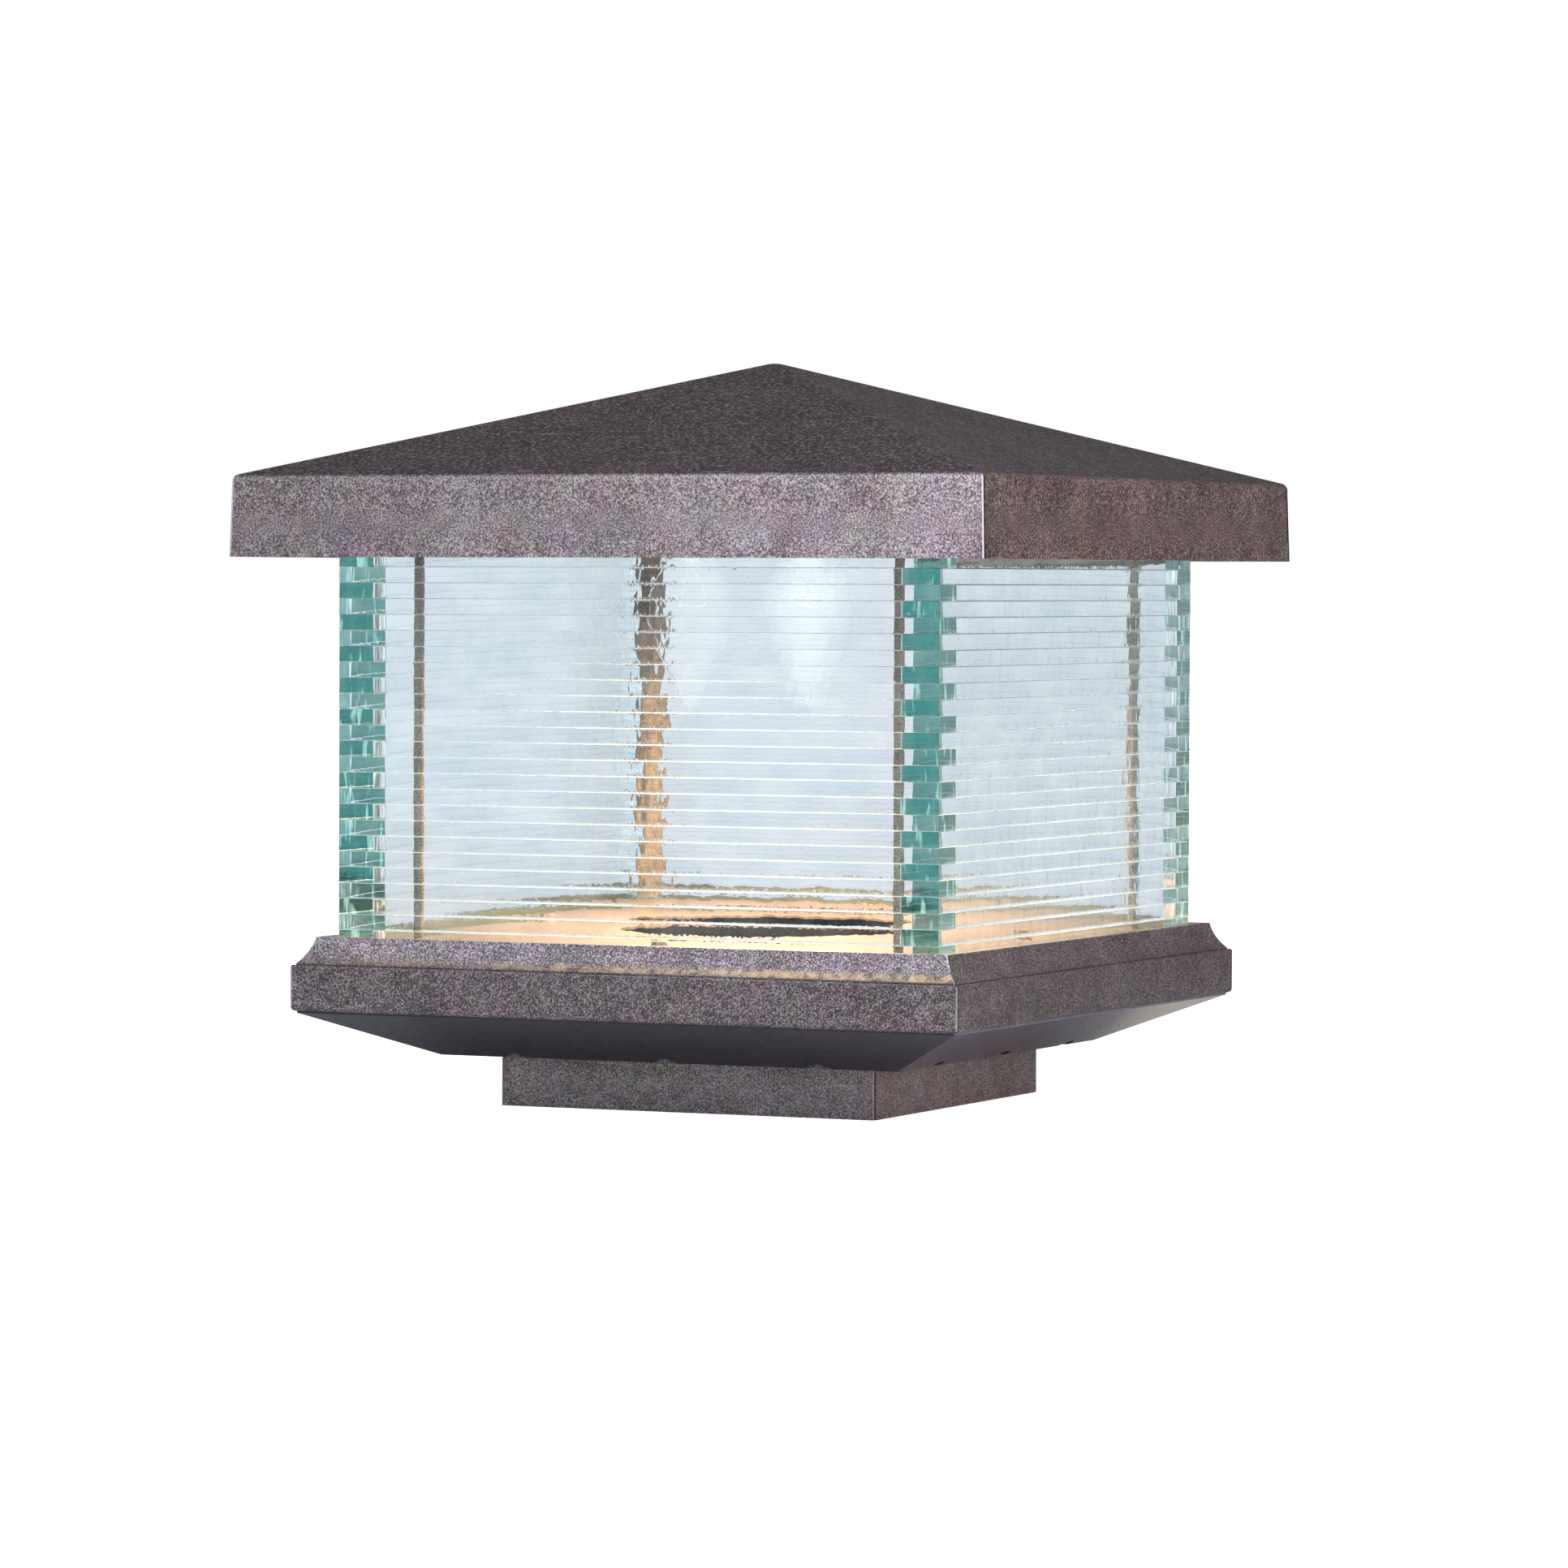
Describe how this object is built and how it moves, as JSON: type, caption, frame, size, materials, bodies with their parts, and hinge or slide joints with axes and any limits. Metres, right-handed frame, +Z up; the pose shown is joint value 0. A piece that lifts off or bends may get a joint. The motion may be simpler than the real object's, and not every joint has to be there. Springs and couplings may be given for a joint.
{
  "type": "deck post cap light",
  "caption": "Square deck post cap light: low hipped bronze roof over walls of stacked glass strips, on a coved base with a sloping pan and a square collar.",
  "frame": {"origin": "centre of the square collar's foot, on the surface it stands on", "axes": "+Z up; -Y is the front wall, where the glass strips of the bottom course run to the corners; +X is its right side"},
  "size_m": [0.329, 0.329, 0.3037],
  "materials": {
    "bronze_collar": "hand-rubbed dark bronze",
    "bronze_pan": "hand-rubbed dark bronze",
    "bronze_base": "hand-rubbed dark bronze",
    "bronze_floor": "satin bronze",
    "bronze_soffit": "satin bronze",
    "bronze_roof": "hand-rubbed dark bronze",
    "bronze_clip": "dark bronze",
    "bronze_screw": "dark bronze",
    "bronze_rod": "satin bronze",
    "zinc": "zinc plated",
    "green_screw": "green dyed zinc",
    "black_plastic": "moulded black",
    "gasket": "translucent, matte",
    "strip_glass": "cut edges, pale blue-green",
    "phenolic": "moulded brown-black",
    "brass": "satin",
    "lamp_glass": "clear",
    "filament": "glowing, emissive",
    "lead_black": "insulated wire",
    "lead_white": "insulated wire",
    "lead_green": "insulated wire",
    "wire_nut": "moulded orange"
  },
  "bodies": {
    "lantern": {"collar": "bronze_collar", "base_pan": "bronze_pan", "base_frame": "bronze_base", "floor_plate": "bronze_floor", "soffit_plate": "bronze_soffit", "floor_screws": "bronze_screw", "collar_rivets": "bronze_screw", "roof_screws": "bronze_screw", "tie_rod_front_left": "bronze_rod", "tie_rod_front_right": "bronze_rod", "tie_rod_back_right": "bronze_rod", "wire_conduit": "bronze_rod", "crossbar": "zinc", "mounting_studs": "zinc", "stud_washers": "zinc", "stud_nuts": "zinc", "rod_washers": "zinc", "rod_nuts": "zinc", "conduit_locknuts": "zinc", "socket_bridge": "zinc", "bridge_screws": "zinc", "socket_nipples": "zinc", "nipple_nuts": "zinc", "ground_screw": "green_screw", "bond_screw": "green_screw", "wire_bushing": "black_plastic", "conduit_end_bushing": "black_plastic", "glass_gasket_bottom": "gasket", "glass_gasket_top": "gasket", "glass_wall_front": "strip_glass", "glass_wall_back": "strip_glass", "glass_wall_left": "strip_glass", "glass_wall_right": "strip_glass", "lamp_holder_1": "phenolic", "lamp_holder_2": "phenolic", "lamp_holder_3": "phenolic", "screw_shell_1": "brass", "screw_shell_2": "brass", "screw_shell_3": "brass", "centre_contacts": "brass", "supply_lead_black": "lead_black", "holder_leads_black": "lead_black", "supply_lead_white": "lead_white", "holder_leads_white": "lead_white", "ground_lead": "lead_green", "wire_nuts": "wire_nut"},
    "roof": {"roof_cap": "bronze_roof", "roof_corner_clips": "bronze_clip"},
    "lamp_1": {"lamp_glass_1": "lamp_glass", "lamp_base_1": "brass", "lamp_filament_1": "filament"},
    "lamp_2": {"lamp_glass_2": "lamp_glass", "lamp_base_2": "brass", "lamp_filament_2": "filament"},
    "lamp_3": {"lamp_glass_3": "lamp_glass", "lamp_base_3": "brass", "lamp_filament_3": "filament"}
  },
  "joints": [
    {"name": "roof_lift", "type": "slide", "parent": "lantern", "child": "roof", "axis": [0, 0, 1], "range_m": [0, 0.07]},
    {"name": "lamp_1_turn", "type": "hinge", "parent": "lantern", "child": "lamp_1", "pos_m": [0, 0.032, 0.24798], "axis": [0, 0, -1], "range_deg": [0, 1440]},
    {"name": "lamp_2_turn", "type": "hinge", "parent": "lantern", "child": "lamp_2", "pos_m": [-0.02771, -0.016, 0.24798], "axis": [0, 0, -1], "range_deg": [0, 1440]},
    {"name": "lamp_3_turn", "type": "hinge", "parent": "lantern", "child": "lamp_3", "pos_m": [0.02771, -0.016, 0.24798], "axis": [0, 0, -1], "range_deg": [0, 1440]}
  ]
}
